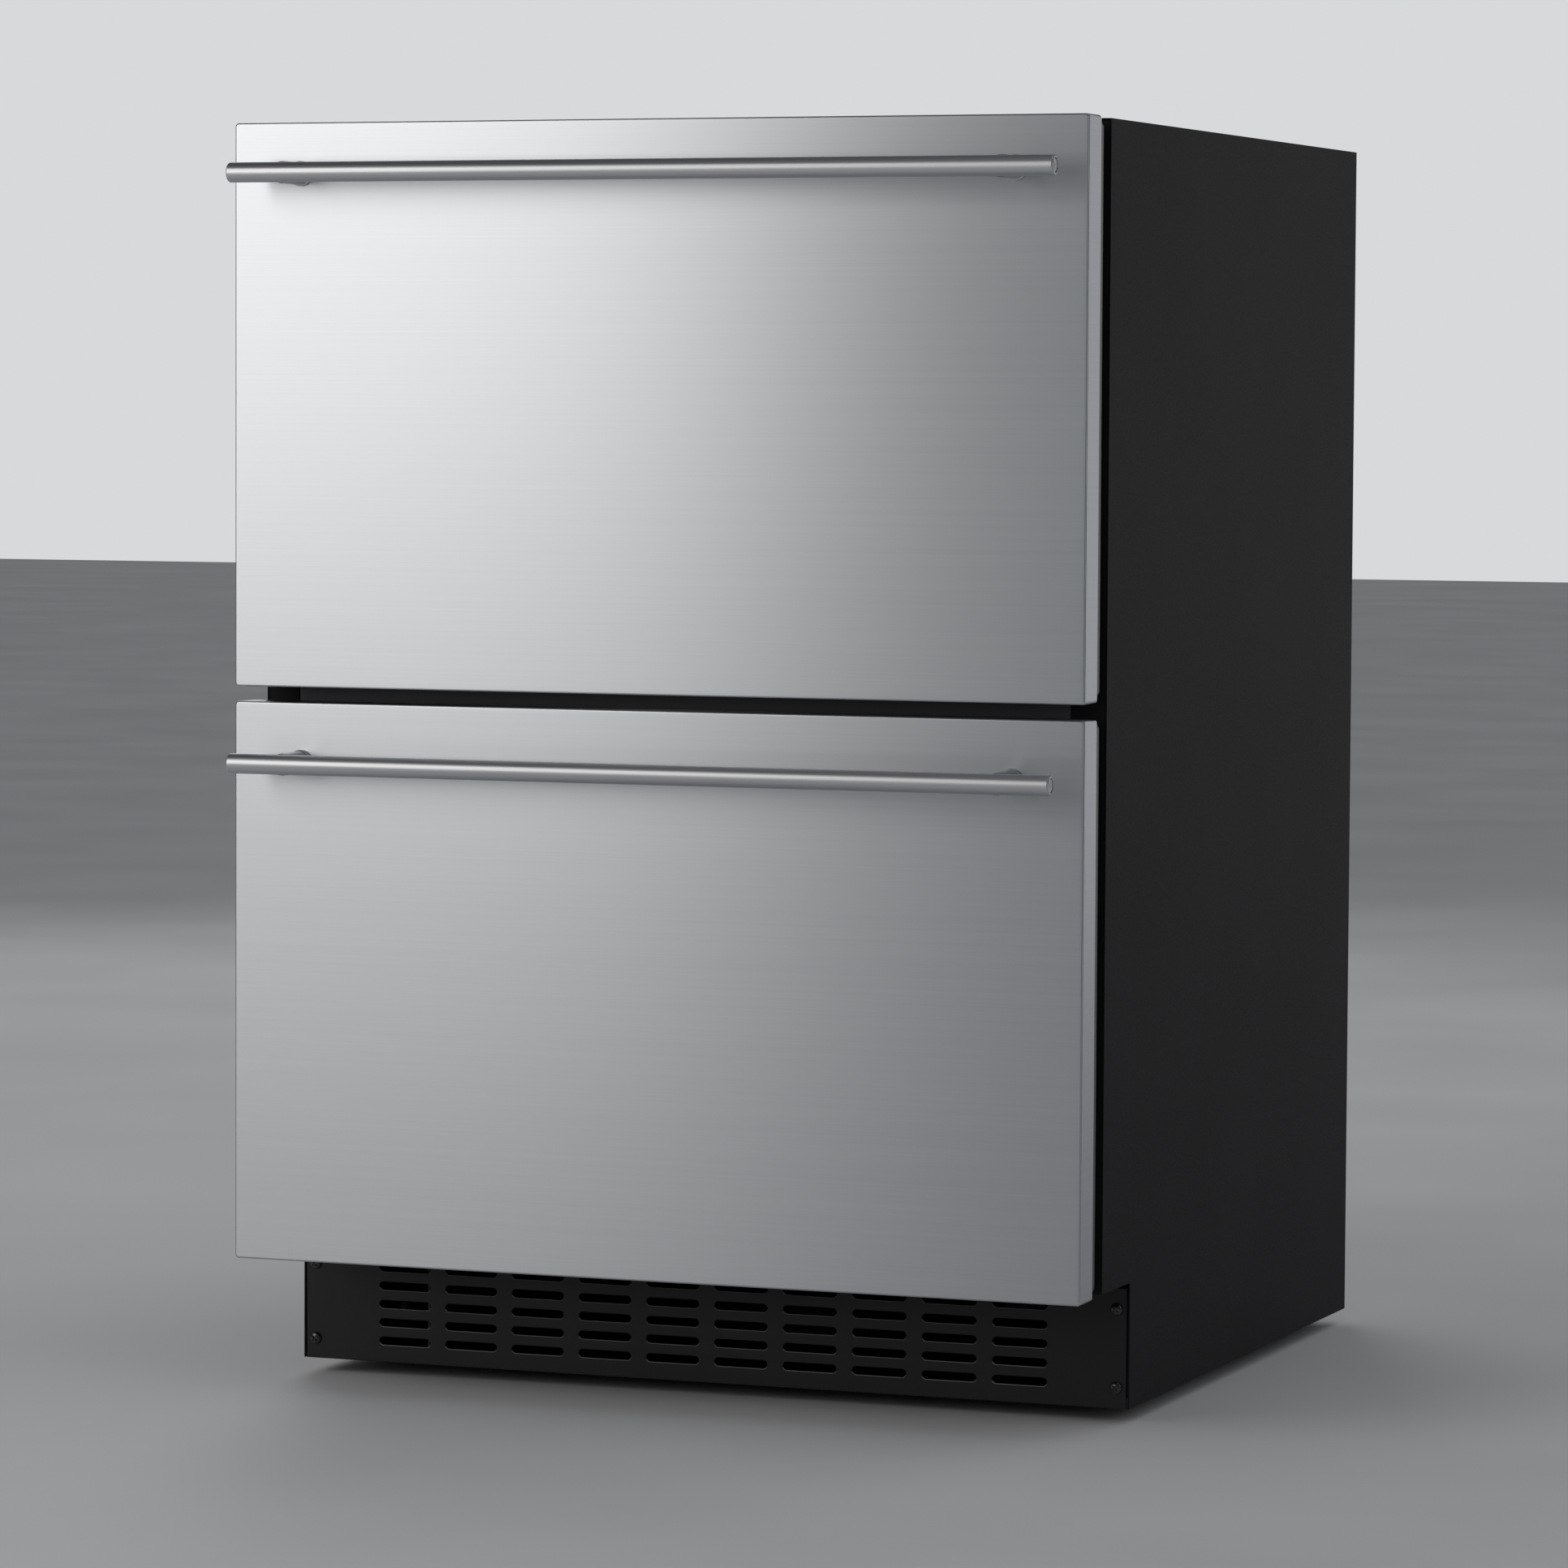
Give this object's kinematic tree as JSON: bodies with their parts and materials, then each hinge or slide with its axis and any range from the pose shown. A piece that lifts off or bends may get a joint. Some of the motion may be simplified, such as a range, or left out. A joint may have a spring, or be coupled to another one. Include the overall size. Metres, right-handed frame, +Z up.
{
  "type": "under counter fridge",
  "caption": "Built-in under counter refrigerator with stacked full-width steel drawers, round bar handles, a black case and a slotted kick plate.",
  "frame": {"origin": "on the floor, midway across the width and midway between the front of the handle bars and the back of the case", "axes": "+Z up, the drawers and handles face -Y and roll out along -Y, +X is the right-hand side seen from the front"},
  "size_m": [0.6, 0.6586, 0.854],
  "materials": {
    "front_steel": "stainless steel sheet, brushed along its width, satin",
    "handle_steel": "stainless steel bar, fine brushed, brighter than the fronts",
    "bin_steel": "folded stainless sheet, satin",
    "runner_steel": "zinc plated rolled steel channel",
    "black_case_paint": "satin black powder coat",
    "kick_plate_paint": "satin black powder coat on punched sheet",
    "dark_mullion_paint": "dark grey satin paint",
    "black_screw": "black oxide pan head screw",
    "galvanised_steel": "galvanised sheet, spangled",
    "compressor_paint": "gloss black enamel on a pressed steel shell",
    "fin_aluminium": "mill-finish fins",
    "insulation_foam": "foamed-in-place polyurethane",
    "liner_plastic": "vacuum-formed polystyrene, dark grey satin",
    "black_abs": "black moulded plastic",
    "light_abs": "light grey moulded plastic",
    "lamp_lens": "frosted lens",
    "gasket_rubber": "black soft magnetic seal",
    "foot_plastic": "black moulded foot on a plated stud"
  },
  "bodies": {
    "cabinet": {"side_panel_left": "black_case_paint", "side_panel_right": "black_case_paint", "top_panel": "black_case_paint", "back_panel": "galvanised_steel", "front_frame": "black_case_paint", "mullion": "dark_mullion_paint", "cabinet_insulation": "insulation_foam", "inner_liner": "liner_plastic", "base_tray": "galvanised_steel", "machine_cover": "galvanised_steel", "kick_plate": "kick_plate_paint", "kick_screw_1": "black_screw", "kick_screw_2": "black_screw", "kick_screw_3": "black_screw", "kick_screw_4": "black_screw", "upper_cabinet_runner_left": "runner_steel", "upper_cabinet_runner_right": "runner_steel", "lower_cabinet_runner_left": "runner_steel", "lower_cabinet_runner_right": "runner_steel", "compressor": "compressor_paint", "drip_tray": "black_abs", "condenser_coil": "fin_aluminium", "condenser_fan_shroud": "black_abs", "power_inlet": "black_abs", "evaporator_cover": "light_abs", "evaporator_coil": "fin_aluminium", "evaporator_fan_motor": "black_abs", "thermostat_housing": "light_abs", "interior_lamp": "lamp_lens"},
    "upper_drawer": {"upper_front_skin": "front_steel", "upper_front_foam": "insulation_foam", "upper_inner_panel": "black_abs", "upper_gasket": "gasket_rubber", "upper_handle_bar": "handle_steel", "upper_handle_post_left": "handle_steel", "upper_handle_post_right": "handle_steel", "upper_bin": "bin_steel", "upper_drawer_runner_left": "runner_steel", "upper_drawer_runner_right": "runner_steel"},
    "lower_drawer": {"lower_front_skin": "front_steel", "lower_front_foam": "insulation_foam", "lower_inner_panel": "black_abs", "lower_gasket": "gasket_rubber", "lower_handle_bar": "handle_steel", "lower_handle_post_left": "handle_steel", "lower_handle_post_right": "handle_steel", "lower_bin": "bin_steel", "lower_drawer_runner_left": "runner_steel", "lower_drawer_runner_right": "runner_steel"},
    "upper_mid_runners": {"upper_mid_runner_left": "runner_steel", "upper_mid_runner_right": "runner_steel"},
    "lower_mid_runners": {"lower_mid_runner_left": "runner_steel", "lower_mid_runner_right": "runner_steel"},
    "thermostat_dial": {"thermostat_knob": "light_abs"},
    "condenser_fan": {"condenser_fan_blade": "black_abs"},
    "evaporator_fan": {"evaporator_fan_blade": "black_abs"},
    "foot_1": {"levelling_foot_1": "foot_plastic"},
    "foot_2": {"levelling_foot_2": "foot_plastic"},
    "foot_3": {"levelling_foot_3": "foot_plastic"},
    "foot_4": {"levelling_foot_4": "foot_plastic"}
  },
  "joints": [
    {"name": "upper_drawer_slide", "type": "slide", "parent": "cabinet", "child": "upper_drawer", "axis": [0, -1, 0], "range_m": [0, 0.4]},
    {"name": "lower_drawer_slide", "type": "slide", "parent": "cabinet", "child": "lower_drawer", "axis": [0, -1, 0], "range_m": [0, 0.4]},
    {"name": "upper_mid_slide", "type": "slide", "parent": "cabinet", "child": "upper_mid_runners", "axis": [0, -1, 0], "range_m": [0, 0.2]},
    {"name": "lower_mid_slide", "type": "slide", "parent": "cabinet", "child": "lower_mid_runners", "axis": [0, -1, 0], "range_m": [0, 0.2]},
    {"name": "thermostat_turn", "type": "hinge", "parent": "cabinet", "child": "thermostat_dial", "pos_m": [-0.07, -0.18095, 0.7927], "axis": [0, 1, 0], "range_deg": [0, 270]},
    {"name": "condenser_fan_spin", "type": "hinge", "parent": "cabinet", "child": "condenser_fan", "pos_m": [-0.184, 0.21825, 0.15275], "axis": [1, 0, 0], "continuous": true},
    {"name": "evaporator_fan_spin", "type": "hinge", "parent": "cabinet", "child": "evaporator_fan", "pos_m": [0, 0.25275, 0.732], "axis": [0, -1, 0], "continuous": true},
    {"name": "foot_1_adjust", "type": "slide", "parent": "cabinet", "child": "foot_1", "axis": [0, 0, -1], "range_m": [0, 0.02]},
    {"name": "foot_2_adjust", "type": "slide", "parent": "cabinet", "child": "foot_2", "axis": [0, 0, -1], "range_m": [0, 0.02]},
    {"name": "foot_3_adjust", "type": "slide", "parent": "cabinet", "child": "foot_3", "axis": [0, 0, -1], "range_m": [0, 0.02]},
    {"name": "foot_4_adjust", "type": "slide", "parent": "cabinet", "child": "foot_4", "axis": [0, 0, -1], "range_m": [0, 0.02]}
  ],
  "couplings": [
    {"joint": "upper_mid_slide", "follows": "upper_drawer_slide", "ratio": 0.5},
    {"joint": "lower_mid_slide", "follows": "lower_drawer_slide", "ratio": 0.5}
  ]
}
